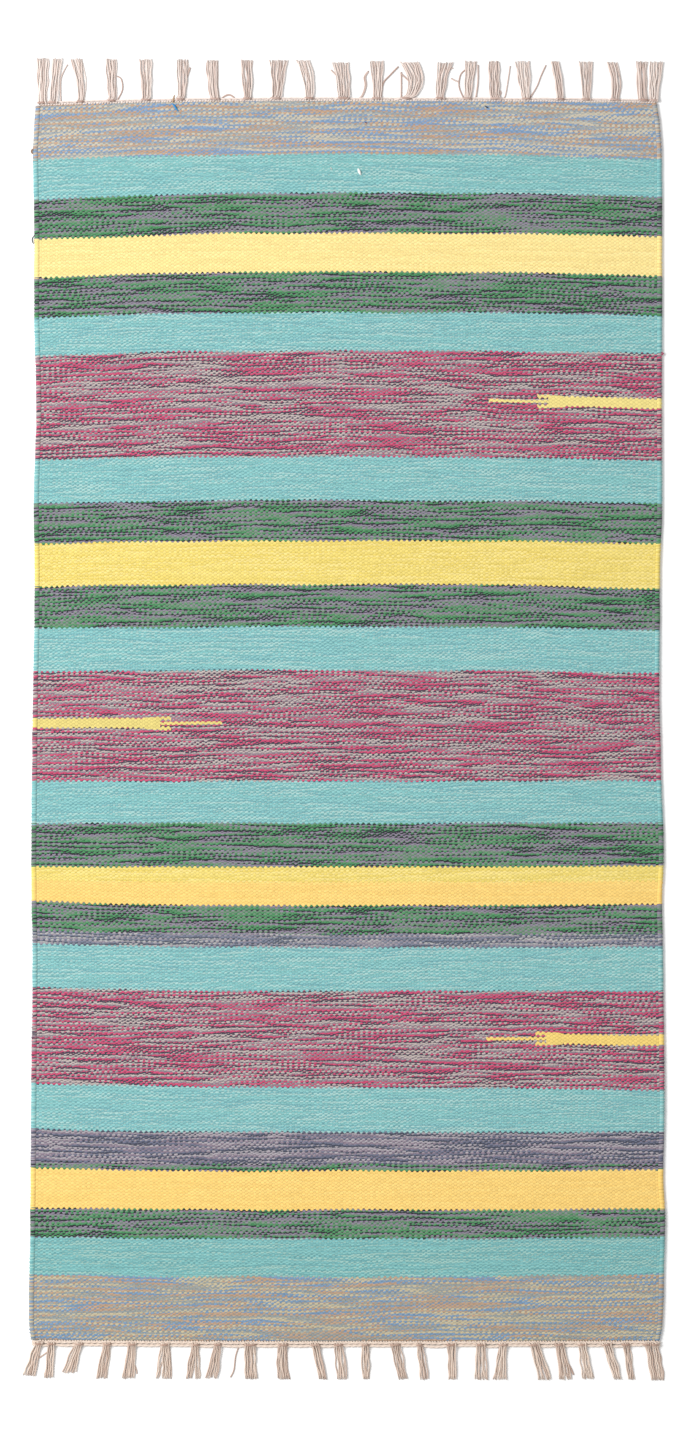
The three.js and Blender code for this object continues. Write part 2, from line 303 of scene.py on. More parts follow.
def cloth_mesh():
    """The closed sheet, with the place in the weave of each vertex as two attributes."""
    columns = len(sections) - 1
    lines = len(rows) - 1
    bm = bmesh.new()
    column_layer = bm.verts.layers.float.new("column")
    pick_layer = bm.verts.layers.float.new("pick")
    bmesh.ops.create_grid(bm, x_segments=columns, y_segments=lines, size=0.5)
    places = {}
    for vertex in bm.verts:
        places[vertex] = (round((vertex.co.x + 0.5) * columns), round((0.5 - vertex.co.y) * lines))
    edge_left = [rng.uniform(-1, 1) * EDGE_WANDERS for _ in rows]
    edge_right = [rng.uniform(-1, 1) * EDGE_WANDERS for _ in rows]
    low_of = {}
    for vertex, (column, row) in places.items():
        section = sections[column]
        share = section.inset * MM / FLAT_WIDTH
        down = rows[row].inset * MM
        sunk = min(rows[row].sunk, (section.high - section.low) * MOST_SUNK) * MM
        vertex.co = on_rug(share, HALF_LENGTH - down)
        if column == 0:
            vertex.co.x += edge_left[row]
        if column == len(sections) - 1:
            vertex.co.x += edge_right[row]
        vertex[column_layer] = column_at(section.inset)
        vertex[pick_layer] = down / PICK
        vertex.co.z = section.high * MM - sunk
        low_of[(round(vertex.co.x, 7), round(vertex.co.y, 7))] = section.low * MM + sunk
    upper = list(bm.faces)
    made = bmesh.ops.extrude_face_region(bm, geom=upper)
    under = [e for e in made["geom"] if isinstance(e, bmesh.types.BMVert)]
    for vertex in under:
        vertex.co.z = low_of[(round(vertex.co.x, 7), round(vertex.co.y, 7))]
    bmesh.ops.recalc_face_normals(bm, faces=bm.faces)
    mesh = bpy.data.meshes.new("kilim_cloth")
    bm.to_mesh(mesh)
    bm.free()
    return mesh


# %% Cloth UV maps
RIM_COLUMNS = 0.3  # how much of the pattern a side's rim shows
RIM_PICKS = 1.0
MAP_EDGE = 0.002  # the map stays this far inside its square
FACE_FROM = 1.6 * MM  # a vertex that lies higher belongs to the rug's face


def lay_pattern(mesh):
    """Two UV maps: one counts warps and picks for the pattern, and one fits the same into a square."""
    corners = len(mesh.loops)
    vertex_of = np.empty(corners, int)
    mesh.loops.foreach_get("vertex_index", vertex_of)
    column = np.empty(len(mesh.vertices), np.float32)
    pick = np.empty(len(mesh.vertices), np.float32)
    mesh.attributes["column"].data.foreach_get("value", column)
    mesh.attributes["pick"].data.foreach_get("value", pick)
    place = np.stack([column[vertex_of], pick[vertex_of]], 1)
    high = [vertex.co.z > FACE_FROM for vertex in mesh.vertices]
    for face in mesh.polygons:
        picks = {round(float(pick[v]), 3) for v in face.vertices}
        columns = {round(float(column[v]), 3) for v in face.vertices}
        for corner in face.loop_indices:
            if not high[vertex_of[corner]]:
                continue
            if len(columns) == 1:
                place[corner, 0] += RIM_COLUMNS if place[corner, 0] < COLUMNS / 2 else -RIM_COLUMNS
            if len(picks) == 1:
                place[corner, 1] += RIM_PICKS if place[corner, 1] < PICKS / 2 else -RIM_PICKS
    fitted = place / np.array([COLUMNS, PICKS])
    fitted[:, 1] = 1 - fitted[:, 1]
    fitted = MAP_EDGE + (1 - 2 * MAP_EDGE) * fitted
    for name, values in (("weave", place), ("OFBake", fitted)):
        layer = mesh.uv_layers.new(name=name)
        layer.uv.foreach_set("vector", values.astype(np.float32).ravel())
    mesh.uv_layers["weave"].active_render = True


cloth_data = cloth_mesh()
lay_pattern(cloth_data)
cloth_data.shade_smooth()
cloth = bpy.data.objects.new("kilim_cloth", cloth_data)
bpy.context.collection.objects.link(cloth)
print(f"cloth of {len(cloth_data.polygons)} faces")

# %% [markdown]
# ## Node helpers
#
# The weave is drawn by nodes alone, so that it stays sharp at any distance. A small helper adds nodes to
# a material and joins them, and a look then reads like a formula.

# %% Node helpers


def linear(rgb):
    """A dye that is named in 0 to 255 as the eye sees it, as a linear colour with alpha."""
    share = [value / 255 for value in rgb]
    return tuple(s / 12.92 if s <= 0.04045 else ((s + 0.055) / 1.055) ** 2.4 for s in share) + (1.0,)


class Look:
    """A material whose nodes are added by name and joined by value."""

    def __init__(self, name):
        self.material = bpy.data.materials.new(name)
        self.material.use_nodes = True
        self.tree = self.material.node_tree
        self.shader = self.tree.nodes["Principled BSDF"]

    def feed(self, socket, value):
        if isinstance(value, bpy.types.NodeSocket):
            self.tree.links.new(value, socket)
        else:
            socket.default_value = value

    def node(self, kind, inputs=None, **settings):
        node = self.tree.nodes.new("ShaderNode" + kind)
        for name, value in settings.items():
            setattr(node, name, value)
        for name, value in (inputs or {}).items():
            self.feed(node.inputs[name], value)
        return node

    def math(self, how, *values):
        node = self.node("Math", operation=how)
        for socket, value in zip(node.inputs, values):
            self.feed(socket, value)
        return node.outputs[0]

    def plus(self, a, b):
        return self.math("ADD", a, b)

    def minus(self, a, b):
        return self.math("SUBTRACT", a, b)

    def times(self, a, b):
        return self.math("MULTIPLY", a, b)

    def off(self, value, middle):
        """How far a value is off a middle, without its sign."""
        return self.math("ABSOLUTE", self.minus(value, middle))

    def vector(self, x=0.0, y=0.0, z=0.0):
        return self.node("CombineXYZ", {"X": x, "Y": y, "Z": z}).outputs[0]

    def noise(self, place, detail=0.0, scale=1.0):
        inputs = {"Vector": place, "Scale": scale, "Detail": detail}
        return self.node("TexNoise", inputs).outputs[0]

    def mix(self, share, a, b, blend="MIX"):
        node = self.node("Mix", data_type="RGBA", blend_type=blend)
        self.feed(node.inputs["Factor"], share)
        self.feed(node.inputs[6], a)
        self.feed(node.inputs[7], b)
        return node.outputs[2]

    def steps(self, place, stops):
        """A colour for each stretch of place from 0 to 1. stops are pairs of start and colour."""
        node = self.node("ValToRGB", {"Fac": place})
        ramp = node.color_ramp
        ramp.interpolation = "CONSTANT"
        ramp.elements.remove(ramp.elements[1])
        ramp.elements[0].position = 0
        ramp.elements[0].color = stops[0][1]
        for start, colour in stops[1:]:
            ramp.elements.new(start).color = colour
        return node.outputs[0]

    def spread(self, value, low, high, to_low, to_high):
        """value taken from the range low to high to the range to_low to to_high, and kept in it."""
        node = self.node("MapRange")
        for socket, number in zip(node.inputs, (value, low, high, to_low, to_high)):
            self.feed(socket, number)
        return node.outputs[0]

    def grey(self, share):
        """A grey of a share from 0, black, to 1, white."""
        return self.node("CombineColor", {0: share, 1: share, 2: share}).outputs[0]

    def attribute(self, name, output):
        node = self.node("Attribute", attribute_name=name, attribute_type="GEOMETRY")
        return node.outputs[output]

    def relief(self, height, strength, depth, sunk=False):
        """Bump from a height. depth is in metres, and sunk turns the relief inside out."""
        bump = self.node("Bump", {"Height": height, "Strength": strength, "Distance": depth}, invert=sunk)
        self.feed(self.shader.inputs["Normal"], bump.outputs[0])

    def finish(self, colour, roughness, specular, sheen=0.0):
        """The colour, how rough the surface is, how much it mirrors and how much its fuzz glows."""
        self.feed(self.shader.inputs["Base Color"], colour)
        self.shader.inputs["Roughness"].default_value = roughness
        self.shader.inputs["Specular IOR Level"].default_value = specular
        self.shader.inputs["Sheen Weight"].default_value = sheen


# %% [markdown]
# ## Weave
#
# In a weft-faced plain weave each weft goes over every other warp, and the wefts are beaten so close that
# they hide the warps. What shows is a brick pattern of stitches, each one warp wide and two picks high:
# even picks show on even warps and odd picks on odd ones. That alone gives the stripes their toothed
# edges. A stitch is an oval, because it bulges into the gaps beside it. Within it lie two or three yarns
# of the bundle, and the bundle rolls slowly along the pick, which draws out the long streaks. In the two
# end stripes the bundles lie calmer. The three forked accents in yellow are tapestry: they go only a part
# of the way across, so each is laid over the stripe by its own small formula.

# %% Weave material
SHOWING = 2.2  # yarns of the bundle that show in a stitch, out of four
NEXT_TURN = 1.5  # how much further the next pick's bundle has rolled, in yarns
START = 1.2  # how uneven that is
ROLL_COLUMNS = 24.0  # warps over which a bundle's roll changes
ROLL = 9.0  # how far it rolls to and fro, in yarns
DRIFT = 0.07  # how fast a bundle goes on rolling one way, in yarns to a warp
OVAL = 0.24  # how far a stitch bulges over its neighbours, in warps
WAVER = 1.6  # how far a weft wavers, in picks
UNEVEN = 0.7  # how far a single stitch is off its weft, in picks
WANDER = 0.4  # how far a warp wanders, in warps
LOOSE = 0.45  # how far a single stitch is off its roll, in yarns
CALM_SHOWING = 1.5  # instead of SHOWING in the two end stripes, as the next two are there
CALM_COLUMNS = 40.0
CALM_LOOSE = 0.2
STREAK_DETAIL = 3.0  # octaves of noise in a bundle's roll
SLANT = 0.35  # yarns by which the bundle's twist slopes across a stitch
TWISTS = 5.0  # turns of a single yarn's twist across a stitch
PICK_APART = 13.7  # by this much the noise of a pick lies clear of the next one's
STEADY = 1.0  # warps from a side that neither wander nor bulge
FREE = 3.0  # warps from a side beyond which all do

# How many patches of a noise there are to a warp and to a pick
Patches = namedtuple("Patches", "warp pick")
WAVER_PATCHES = Patches(0.03, 0.02)
UNEVEN_PATCHES = Patches(0.8, 0.4)
WANDER_PATCHES = Patches(0.5, 0.15)
WANDER_LAYER = 5.0  # of the noise, which nothing else reads

# How much painted shade darkens a stitch where it meets its neighbour below, its neighbour beside, and both
PAINTED_GAP_SHADE = 0.26
PAINTED_GROOVE_SHADE = 0.06
PAINTED_CORNER_SHADE = 0.42
RIM_POWER = 4.0  # the painted shade keeps to the very rim
CORNER_POWER = 2.0
GLOW = 0.75  # how much of that painted shade the palest yarns lose, as light goes through them
FADED = 0.18  # how much two stitches of one dye differ in brightness

# Relief, as shares of its depth
CROWN_SIDE = 0.4  # how far a stitch falls to its sides, where it falls by 1 to its two ends
SIDE_POWER = 3.0
END_POWER = 2.0
SEAM_DEEP = 0.9
PLY_HIGH = 0.04
WEAVE_BUMP = 0.8
WEAVE_DEPTH = 0.45 * MM

COTTON_ROUGHNESS = 0.92
COTTON_SPECULAR = 0.2
COTTON_SHEEN = 0.15
SHEEN_ROUGHNESS = 0.6


def stitch(look, column, line):
    """The pick whose stitch shows at a place, and how far down that stitch the place is."""
    parity = look.math("MODULO", look.math("FLOOR", column), 2.0)
    pairs = look.times(look.plus(line, parity), 0.5)
    bead = look.math("FLOOR", pairs)
    pick = look.minus(look.times(bead, 2.0), parity)
    return pick, look.math("FRACT", pairs)


def stripe_number(look, pick):
    """The number of the stripe that a pick belongs to, from 0 at the top end."""
    number = 0.0
    for n in range(1, len(BANDS)):
        passed = look.math("GREATER_THAN", pick, first_pick(n) - 0.5)
        number = look.plus(number, passed)
    return number


def bundle_colour(look, stripe, yarn):
    """The dye of one of the four yarns, 0 to 3, in the bundle of a stripe."""
    place = look.math("DIVIDE", look.plus(stripe, 0.5), float(len(BANDS)))
    colour = None
    for number, name in enumerate(Bundle._fields):
        stops = []
        for n, band in enumerate(BANDS):
            stops.append((n / len(BANDS), linear(getattr(BUNDLES[band.bundle], name))))
        dye = look.steps(place, stops)
        if colour is None:
            colour = dye
        else:
            colour = look.mix(look.math("GREATER_THAN", yarn, number - 0.5), colour, dye)
    return colour


# The short yellow accents in the three berry stripes. stripe is the stripe's number in the chart, at is
# the accent's middle as a number of picks from the stripe's top, side is the edge that it starts from,
# bar, prong and tongue are lengths in warps from that edge, and dye is its own yellow.
Accent = namedtuple("Accent", "stripe at side bar prong tongue dye")
ACCENTS = [
    Accent(6, 29, "right", 41.5, 45.5, 63.5, (230, 212, 132)),
    Accent(12, 31, "left", 46.5, 50.5, 69.5, (220, 202, 120)),
    Accent(20, 28, "right", 42.5, 46.5, 64.5, (234, 203, 114)),
]
# All in picks from the accent's middle. The wefts of an accent are beaten a little closer than others.
BAR_HALF = 3.0
BAR_EDGE = 3.3
PRONG_INNER = 2.0
PRONG_OUTER = 4.0
PRONG_EDGE = 4.4
TONGUE_HALF = 1.0
FLARE = 6.0  # warps over which a bar widens to its prongs


def accent_share(look, column, line, pick, accent):
    """1 where the yellow of an accent shows, and 0 elsewhere."""
    middle = first_pick(accent.stripe) + accent.at - 0.5
    off = look.off(pick, middle)
    # A pick's stitches reach from its own line over the next two, so the accent's line is one further
    beaten = look.off(line, middle + 1.0)
    inward = column
    if accent.side == "right":
        inward = look.minus(float(COLUMNS), column)

    flared = look.math("GREATER_THAN", inward, accent.bar - FLARE)
    half = look.spread(flared, 0.0, 1.0, BAR_HALF, PRONG_OUTER)
    edge = look.spread(inward, accent.bar - FLARE, accent.prong, BAR_EDGE, PRONG_EDGE)
    wide = look.math("LESS_THAN", off, half)
    wide = look.times(wide, look.math("LESS_THAN", beaten, edge))
    bar = look.times(wide, look.math("LESS_THAN", inward, accent.bar))
    prongs = look.times(wide, look.math("LESS_THAN", inward, accent.prong))
    prongs = look.times(prongs, look.math("GREATER_THAN", off, PRONG_INNER))

    tongue = look.math("LESS_THAN", inward, accent.tongue)
    tongue = look.times(tongue, look.math("LESS_THAN", off, TONGUE_HALF))
    tongue = look.times(tongue, look.math("LESS_THAN", beaten, TONGUE_HALF))
    return look.math("MAXIMUM", look.math("MAXIMUM", bar, prongs), tongue)


def patchy(look, column, line, patches, most, layer=0.0):
    """A noise in patches of warps and picks, from about -most / 2 to most / 2."""
    place = look.vector(look.times(column, patches.warp), look.times(line, patches.pick), layer)
    return look.times(look.minus(look.noise(place), 0.5), most)


def beside_and_below(look, column, down):
    """How far a place is from the middle of its stitch, sideways and downwards, with 1 at the rim."""
    beside = look.times(look.off(look.math("FRACT", column), 0.5), 2.0)
    below = look.times(look.off(down, 0.5), 2.0)
    return beside, below


def rolled(look, column, pick, down, stripe):
    """Which yarn of the endless roll shows at a place, whose whole part counts the yarns."""
    at_end = look.math("COMPARE", stripe, 0.0, 0.5)
    at_end = look.plus(at_end, look.math("COMPARE", stripe, len(BANDS) - 1.0, 0.5))
    roll_columns = look.spread(at_end, 0.0, 1.0, ROLL_COLUMNS, CALM_COLUMNS)
    showing = look.spread(at_end, 0.0, 1.0, SHOWING, CALM_SHOWING)
    looseness = look.spread(at_end, 0.0, 1.0, LOOSE, CALM_LOOSE)
    along_pick = look.vector(look.math("DIVIDE", column, roll_columns), look.times(pick, PICK_APART))
    roll = look.times(look.noise(along_pick, detail=STREAK_DETAIL), ROLL)
    start = look.node("TexWhiteNoise", {"W": pick}, noise_dimensions="1D").outputs[0]
    turned = look.plus(roll, look.times(pick, NEXT_TURN))
    turned = look.plus(turned, look.times(start, START))
    drift = look.times(look.minus(start, 0.5), 2 * DRIFT)
    turned = look.plus(turned, look.times(column, drift))
    bead = look.vector(look.math("FLOOR", column), pick)
    own = look.node("TexWhiteNoise", {"Vector": bead}, noise_dimensions="2D")
    turned = look.plus(turned, look.times(own.outputs["Value"], looseness))
    turned = look.plus(turned, look.times(look.math("FRACT", column), SLANT))
    fresh = look.node("SeparateColor", {"Color": own.outputs["Color"]}).outputs["Green"]
    return look.plus(look.times(down, showing), turned), fresh


def with_painted_shade(look, colour, beside, below, fresh):
    """A stitch's colour with painted shade, darker where it dives between its neighbours."""
    gap = look.times(look.math("POWER", below, RIM_POWER), PAINTED_GAP_SHADE)
    groove = look.times(look.math("POWER", beside, RIM_POWER), PAINTED_GROOVE_SHADE)
    corner = look.times(look.math("POWER", look.times(beside, below), CORNER_POWER), PAINTED_CORNER_SHADE)
    painted_shade_and_fade = look.plus(look.plus(gap, groove), corner)
    painted_shade_and_fade = look.plus(painted_shade_and_fade, look.times(look.minus(fresh, 0.5), FADED))
    pale = look.node("RGBToBW", {"Color": colour}).outputs[0]
    painted_shade_and_fade = look.times(painted_shade_and_fade, look.minus(1.0, look.times(pale, GLOW)))
    return look.mix(1.0, colour, look.grey(look.minus(1.0, painted_shade_and_fade)), "MULTIPLY")


def stitch_height(look, column, strand, beside, below):
    """The round stitch, the yarns in it and each yarn's twist."""
    crown = look.times(look.math("POWER", beside, SIDE_POWER), CROWN_SIDE)
    crown = look.plus(crown, look.math("POWER", below, END_POWER))
    seam = look.math("POWER", look.off(look.math("FRACT", strand), 0.5), 2.0)
    wound = look.plus(look.times(column, TWISTS), strand)
    ply = look.times(look.math("SINE", look.times(wound, 2 * math.pi)), PLY_HIGH)
    return look.minus(ply, look.plus(crown, look.times(seam, SEAM_DEEP)))


def weave_look():
    look = Look("woven_cotton")
    flat = look.node("UVMap", uv_map="weave").outputs[0]
    split = look.node("SeparateXYZ", {"Vector": flat})
    column, straight = split.outputs[0], split.outputs[1]

    # Wefts waver over many stitches, and each stitch and warp is a little off its place
    waver = patchy(look, column, straight, WAVER_PATCHES, WAVER)
    uneven = patchy(look, column, straight, UNEVEN_PATCHES, UNEVEN)
    line = look.plus(look.plus(straight, look.plus(waver, uneven)), 0.5)
    wander = patchy(look, column, straight, WANDER_PATCHES, WANDER, WANDER_LAYER)
    from_edge = look.math("MINIMUM", column, look.minus(float(COLUMNS), column))
    column = look.plus(column, look.times(wander, look.spread(from_edge, STEADY, FREE, 0.0, 1.0)))

    # Every stitch is an oval that bulges into the gaps between its neighbours at both sides
    beat = look.math("COSINE", look.times(column, math.pi))
    beat = look.times(beat, look.math("COSINE", look.times(line, math.pi)))
    column = look.minus(column, look.times(beat, look.spread(from_edge, STEADY, FREE, 0.0, OVAL)))

    # The pick that shows there, its stripe and the yarn of its bundle
    pick, down = stitch(look, column, line)
    stripe = stripe_number(look, pick)
    strand, fresh = rolled(look, column, pick, down, stripe)
    yarn = look.math("FLOORED_MODULO", look.math("FLOOR", strand), float(len(Bundle._fields)))
    colour = bundle_colour(look, stripe, yarn)
    for accent in ACCENTS:
        share = accent_share(look, column, line, pick, accent)
        colour = look.mix(share, colour, linear(accent.dye))

    beside, below = beside_and_below(look, column, down)
    # Painted shade where each stitch dives between its neighbours, and the random fading of single stitches
    colour = with_painted_shade(look, colour, beside, below, fresh)
    look.finish(colour, COTTON_ROUGHNESS, COTTON_SPECULAR, COTTON_SHEEN)
    look.shader.inputs["Sheen Roughness"].default_value = SHEEN_ROUGHNESS
    look.relief(stitch_height(look, column, strand, beside, below), WEAVE_BUMP, WEAVE_DEPTH)
    return look.material


woven_cotton = weave_look()
cloth_data.materials.append(woven_cotton)
print(len(woven_cotton.node_tree.nodes), "nodes in the weave")

# %% Cloth in the frame
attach(cloth, "root")
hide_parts("woven_cloth")

# %% [markdown]
# ## Yarns
#
# The fringe is made of the warp's own yarns. A yarn is swept as a closed tube: a small capped circle is
# extruded from point to point of its line. It has only six sides, because hundreds of yarns lie here. Each
# vertex keeps its angle round the yarn and its length along it, and the material draws the twist of the
# plies with them.

# %% Sweeping a yarn
YARN_SIDES = 6


def sweep(bm, line, radii, shade):
    """A closed tube along a line of points, with a radius at each of them."""
    turn_layer = bm.verts.layers.float_vector.get("twist") or bm.verts.layers.float_vector.new("twist")
    shade_layer = bm.verts.layers.float.get("shade") or bm.verts.layers.float.new("shade")
    points = [Vector(p) for p in line]
    frames = []
    length = 0.0
    for n, point in enumerate(points):
        ahead = points[min(n + 1, len(points) - 1)] - points[max(n - 1, 0)]
        turn = ahead.to_track_quat("Z", "X").to_matrix().to_4x4()
        if frames:
            before = frames[-1][1]
            last = before @ Vector((0, 0, 1))
            turn = (last.rotation_difference(ahead.normalized()).to_matrix() @ before.to_3x3()).to_4x4()
            length += (point - points[n - 1]).length
        frames.append((point, turn, radii[n], length))
    point, turn, radius, _ = frames[0]
    base = Matrix.Translation(point) @ turn @ Matrix.Scale(radius, 4)
    made = bmesh.ops.create_circle(bm, cap_ends=True, segments=YARN_SIDES, radius=1.0, matrix=base)
    ring = made["verts"]
    face = ring[0].link_faces[0]
    for n, vertex in enumerate(ring):
        angle = 2 * math.pi * n / YARN_SIDES
        vertex[turn_layer] = Vector((math.cos(angle), math.sin(angle), 0))
        vertex[shade_layer] = shade
    for n, (point, turn, radius, length) in enumerate(frames[1:]):
        place = Matrix.Translation(point) @ turn @ Matrix.Scale(radius, 4)
        move = place @ base.inverted()
        made = bmesh.ops.extrude_face_region(bm, geom=[face])
        if n > 0:
            # Extruding keeps the old cap, which only the first ring needs
            bmesh.ops.delete(bm, geom=[face], context="FACES_ONLY")
        ring = [e for e in made["geom"] if isinstance(e, bmesh.types.BMVert)]
        face = next(e for e in made["geom"] if isinstance(e, bmesh.types.BMFace))
        for vertex in ring:
            vertex.co = move @ vertex.co
            around = vertex[turn_layer]
            vertex[turn_layer] = Vector((around.x, around.y, length / MM))
        base = place


def joined(name, parts):
    """One object of many small meshes, which are then removed."""
    whole = bmesh.new()
    for part in parts:
        whole.from_mesh(part)
        bpy.data.meshes.remove(part)
    bmesh.ops.recalc_face_normals(whole, faces=whole.faces)
    mesh = bpy.data.meshes.new(name)
    whole.to_mesh(mesh)
    whole.free()
    mesh.shade_smooth()
    thing = bpy.data.objects.new(name, mesh)
    bpy.context.collection.objects.link(thing)
    return thing


def yarns_mesh(yarns):
    """A mesh of a few yarns. Each is a line, its radii and its shade."""
    bm = bmesh.new()
    for line, radii, shade in yarns:
        sweep(bm, line, radii, shade)
    mesh = bpy.data.meshes.new("yarns")
    bm.to_mesh(mesh)
    bm.free()
    return mesh


# %% [markdown]
# ## Tassels
#
# Each tassel is six to fourteen warp yarns that come up out of the heading together, go over its outer
# rope and come down to the floor, where they lie level. A table for each end gives where a tassel starts
# and where its tip lies, and small seeded differences make each yarn wander.

# %% The two ends
# left and right are the heading's ends, and start and depth are how far out of the chart's end it begins
# and how deep it is. sag is how far the ropes sag between two tassels. The three reaches are how far out
# the tips lie at the left, the middle and the right. All but toward are in mm.
End = namedtuple("End", "toward left right start depth sag reach_left reach reach_right")
ENDS = {
    "top": End(1, 293, 293.5, 1.35, 3.3, 0.4, 42.0, 39.9, 38.8),
    "bottom": End(-1, 300.3, 296.5, 0.3, 5.4, 0.9, 35.7, 36.9, 37.4),
}

# root and tip are places across the rug, and neck and fan are how wide a tassel is there. bow is how far
# it bends sideways, and short is how far its tip stays behind the trimmed line. foot is how far the yarns
# run sideways along the heading before they turn out of it. fork is how many yarns part from the others
# towards the left, and by how much. All but yarns and the first of fork are in mm.
Tassel = namedtuple("Tassel", "root tip neck fan bow short yarns foot fork", defaults=(0, (0, 0)))
TOP_TASSELS = [
    Tassel(-291, -290.4, 7.6, 12, 0, 0, 11),
    Tassel(-280.7, -276.6, 7.6, 9.5, 0, 0, 8),
    Tassel(-253.9, -258.3, 6, 11.9, 1.9, 0, 9, -2),
    Tassel(-223.4, -225.1, 7.1, 10.9, 0, 0, 9, -6),
    Tassel(-191.4, -192.6, 8.2, 12.4, 0, 0, 10, -3),
    Tassel(-158, -157.4, 6.7, 12, 0, 0, 9, -5),
    Tassel(-126.3, -129, 8.5, 11.9, -0.9, 0.8, 11),
    Tassel(-95, -96.2, 7.1, 11.9, 0, 0, 9, -3),
    Tassel(-67.4, -65.9, 9, 18, 0, 0, 12, -5),
    Tassel(-36.9, -43, 7.6, 13.3, 1.9, 0, 10),
    Tassel(-3.6, -7.4, 11, 16, 0.9, 1.6, 12, -3),
    Tassel(27.3, 27.3, 8, 13.8, 0, 0, 10),
    Tassel(57.6, 58.2, 9.4, 18.5, 6.4, 1.2, 14, -9),
    Tassel(87, 92.5, 6.7, 14.2, -0.9, 1.4, 10),
    Tassel(113.7, 117, 6.7, 11.5, 0, 0, 9),
    Tassel(139.4, 138.8, 9.5, 10.9, 0, 0, 10, 4),
    Tassel(169.4, 166.1, 7.1, 14.2, 0, 0, 10),
    Tassel(201.7, 196.3, 6.7, 8, 0.9, 0, 8),
    Tassel(226.3, 226, 7.1, 14.2, 0, 0, 10),
    Tassel(253.3, 250.8, 7.6, 10.5, 2.8, 0.6, 9),
    Tassel(280.8, 279.2, 8.6, 11, 0, 0, 9),
    Tassel(290.6, 293.4, 7.6, 13, 0, 0, 10),
]
BOTTOM_TASSELS = [
    Tassel(-294, -303.2, 6.7, 12.4, 0, 2.2, 10),
    Tassel(-282, -284.5, 6.7, 8.6, 0, 0.4, 8),
    Tassel(-255.3, -264.9, 6.7, 13.8, 0, 5.2, 10),
    Tassel(-228.8, -234.4, 6.7, 10.9, 0, 0, 9),
    Tassel(-205.1, -208.9, 7.6, 12.4, 0, 0, 10),
    Tassel(-174, -175.8, 7.6, 12.3, 0.9, 0, 11, 0, (3, 3.6)),
    Tassel(-144.8, -147.3, 6.2, 11, 0, 0, 9, 0, (5, 3)),
    Tassel(-123.8, -130, 5.7, 11.9, 0, 0.6, 8),
    Tassel(-93.2, -92.2, 10.6, 11.9, 0, 0, 12),
    Tassel(-61.6, -60.8, 8.6, 12, -1.2, 0, 11),
    Tassel(-31.1, -23.7, 8, 8, 0, 0, 8),
    Tassel(-9.2, -5.4, 7.6, 10, 0, 0, 8),
    Tassel(16.4, 17.2, 6.7, 7.1, 0, 0, 7),
    Tassel(44.8, 52.4, 9, 8, 0, 0, 8),
    Tassel(67.9, 72.9, 5, 8, 0, 0, 6),
    Tassel(98.2, 99.1, 8.6, 8, 0, 0, 8),
    Tassel(125.8, 126.6, 8.2, 12.8, 0, 0, 10),
    Tassel(147.3, 144.3, 7.6, 13.6, 0, 0, 10),
    Tassel(176.6, 187, 9, 11, 0, 0, 10, 0, (6, 2.2)),
    Tassel(200.6, 206.6, 8.2, 9.6, 0, 0, 10, 0, (6, 2.4)),
    Tassel(222.5, 228.5, 6.7, 11.4, 0, 0.8, 9),
    Tassel(245.4, 256.2, 7.6, 8, 0, 0.6, 8),
    Tassel(264.2, 269.3, 7.1, 6.7, 0, 0, 7),
    Tassel(284, 290.6, 6.2, 6, 0, 0, 6),
    Tassel(291.2, 297.4, 6.2, 7.1, 0, 0, 7),
]


def end_fall(end, across):
    """How far the cloth's end has fallen at a place across, in metres."""
    share = min(1, abs(across * MM) / HALF_WIDTH) ** DROOP_POWER
    side = "left" if across < 0 else "right"
    return reading(DROOPS, side, end.toward * HALF_LENGTH) * share


def end_place(end, across, out, height):
    """A place outside an end of the cloth. All are in mm, and out is how far it is from the cloth."""
    along = end.toward * (HALF_LENGTH + out * MM) - end_fall(end, across)
    return Vector((across * MM, along, height * MM)) + MIDDLE


def tip_out(end, across):
    """How far out the tips lie there, in mm, as they were trimmed along one line."""
    keys = (-HALF_WIDTH / MM, 0, HALF_WIDTH / MM)
    reach = float(np.interp(across, keys, (end.reach_left, end.reach, end.reach_right)))
    return reach + end.toward * end_fall(end, across) / MM


# %% Ropes and yarns
YARN_RADIUS = 0.62  # mm
YARNS_TO_DEPTH = 6.6  # radii of a rope's yarn in a heading's depth
YARNS_TO_TOP = 3.7  # and in its height


def rope_radius(end):
    """The radius of one yarn of a heading's ropes, in mm."""
    return end.depth / YARNS_TO_DEPTH


def rope_top(end):
    """How high a heading's ropes are, in mm."""
    return YARNS_TO_TOP * rope_radius(end)


def drawn(draws, span):
    """A seeded number between the two of a span."""
    return draws.uniform(*span)


# %% Tassel yarns
TASSEL_STEPS = 13
CLOSER = 1.4  # power that brings the first steps closer together
ROOT_DEEP = 0.3  # of the heading's depth, where a tassel comes out

# Spans of what differs from yarn to yarn, in mm where nothing else is said
WAVE = (0.15, 0.7)
WAVES = (1.0, 2.6)  # in the length of a yarn
CUT = (-0.9, 0.4)
FOOT = (-2.5, 2.5)
THICKNESS = (0.88, 1.12)  # of the usual radius
LEAN = 0.9
WAVE_GROWS = 3.0  # a yarn waves fully from a third of its length on
FOOT_ENDS = 0.12  # of its length, up to which a yarn runs sideways in the heading
FOOT_POWER = 2
FORK_POWER = 1.5

# The yarns' way over the outer rope, in heading depths from where they come out
FALLS_WITHIN = 0.75
RISES_WITHIN = 0.12
STARTS_DOWN = 0.8  # of the ropes' height, by which they start under its top
LAYER_HIGH = 2.08  # radii that the upper layer lies higher at the root
LAYER_SINKS = 0.96  # and how many of them it has sunk at the tips
TIP_THIN = 0.7  # of its radius, as a cut tip is a little pointed


def over_rope(end, past):
    """How high a tassel's yarns lie, in mm, past heading depths from where they come out."""
    falls = math.exp(-((past / FALLS_WITHIN) ** 2))
    starts = STARTS_DOWN * math.exp(-((past / RISES_WITHIN) ** 2))
    return rope_top(end) * (falls - starts)


